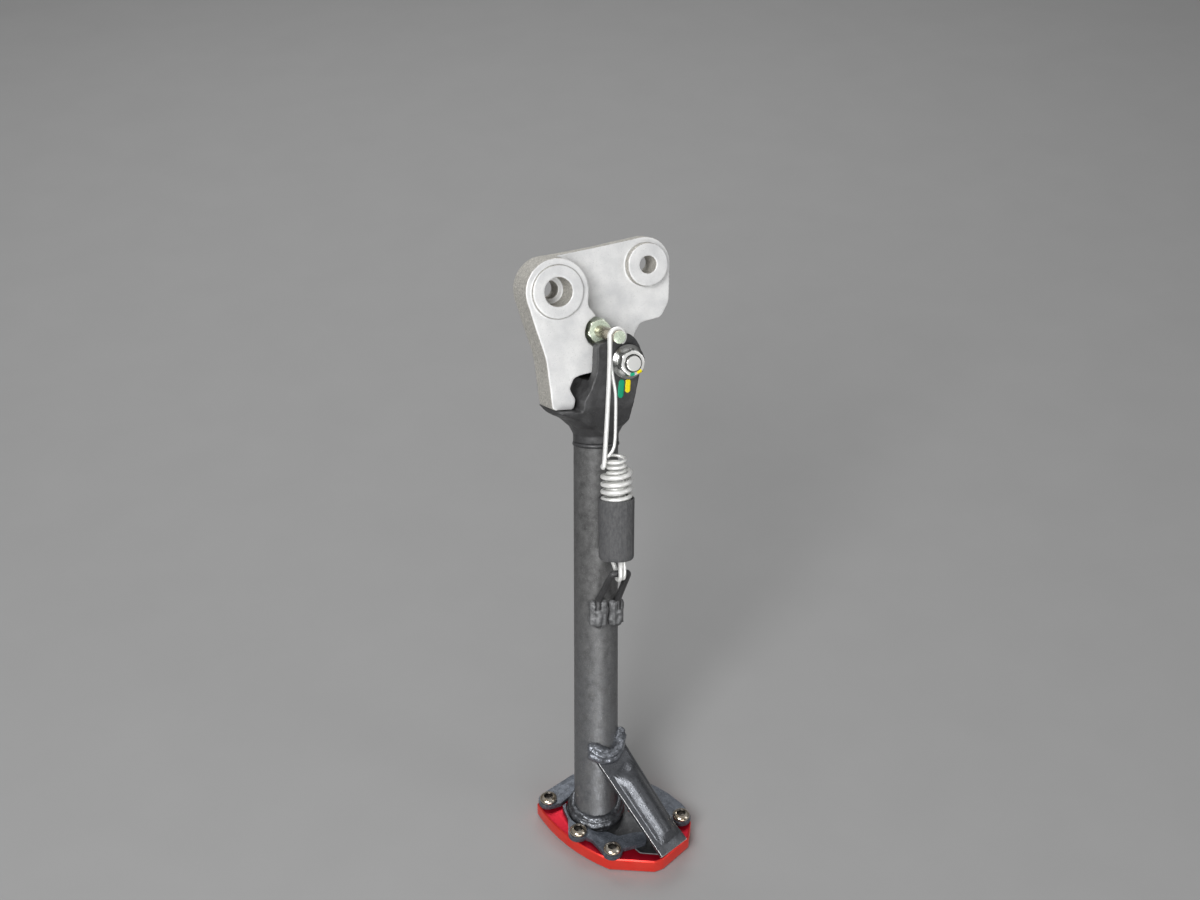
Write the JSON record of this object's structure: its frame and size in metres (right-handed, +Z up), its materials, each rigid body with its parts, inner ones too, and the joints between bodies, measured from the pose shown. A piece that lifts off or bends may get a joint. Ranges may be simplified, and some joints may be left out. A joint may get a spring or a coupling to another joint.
{
  "type": "motorcycle side stand",
  "caption": "Side stand: painted tube leg with a forged fork pivoting on a cast bracket, nested return springs, a kick tang and a clamped foot enlarger plate.",
  "frame": {"origin": "on the ground, under the point where the tube's centre line meets the clamp plates' upper faces", "axes": "+Z up from the ground, +X to the rear of the motorcycle, +Y inboard, towards the motorcycle; the stand is deployed on the motorcycle's left side"},
  "size_m": [0.1448, 0.2142, 0.3439],
  "materials": {
    "cast_aluminium": "silver paint over sand-cast aluminium",
    "zinc_plate": "zinc plate with a faint green-brown cast",
    "black_paint": "satin black paint over steel, worn towards the foot",
    "weld_metal": "rippled weld bead, thinly painted",
    "red_anodised": "red anodised, milled aluminium",
    "satin_black": "satin blue-black coating",
    "stainless": "polished stainless steel",
    "bush_bronze": "plain bronze",
    "spring_wire": "bright zinc-plated spring wire",
    "rubber": "matte dark grey rubber"
  },
  "bodies": {
    "bracket": {"bracket": "cast_aluminium", "pivot_bush": "bush_bronze", "spring_anchor_stud": "zinc_plate"},
    "leg": {"fork_head": "black_paint", "fork_weld": "black_paint", "leg_tube": "black_paint", "spring_staple": "black_paint", "staple_weld_front": "weld_metal", "staple_weld_rear": "weld_metal", "foot_sole": "black_paint", "sole_weld": "weld_metal", "kick_tang": "black_paint", "tang_weld": "weld_metal", "toe_weld": "weld_metal", "foot_enlarger": "red_anodised", "front_clamp": "satin_black", "rear_clamp": "satin_black", "foot_screw_1": "stainless", "foot_screw_2": "stainless", "foot_screw_3": "stainless", "foot_screw_4": "stainless", "pivot_bolt": "zinc_plate", "pivot_nut": "zinc_plate"},
    "spring": {"outer_spring": "spring_wire", "inner_spring": "spring_wire", "spring_sleeve": "rubber"}
  },
  "joints": [
    {"name": "leg_pivot", "type": "hinge", "parent": "bracket", "child": "leg", "pos_m": [0.0633, 0.11398, 0.27544], "axis": [0, -0.9171, 0.3987], "range_deg": [0, 95]},
    {"name": "spring_swing", "type": "hinge", "parent": "bracket", "child": "spring", "pos_m": [0.05339, 0.08933, 0.30778], "axis": [0, -0.9171, 0.3987], "range_deg": [0, 83], "deforming": ["outer_spring", "inner_spring"]}
  ],
  "couplings": [
    {"joint": "spring_swing", "follows": "leg_pivot", "ratio": 0.8663}
  ]
}
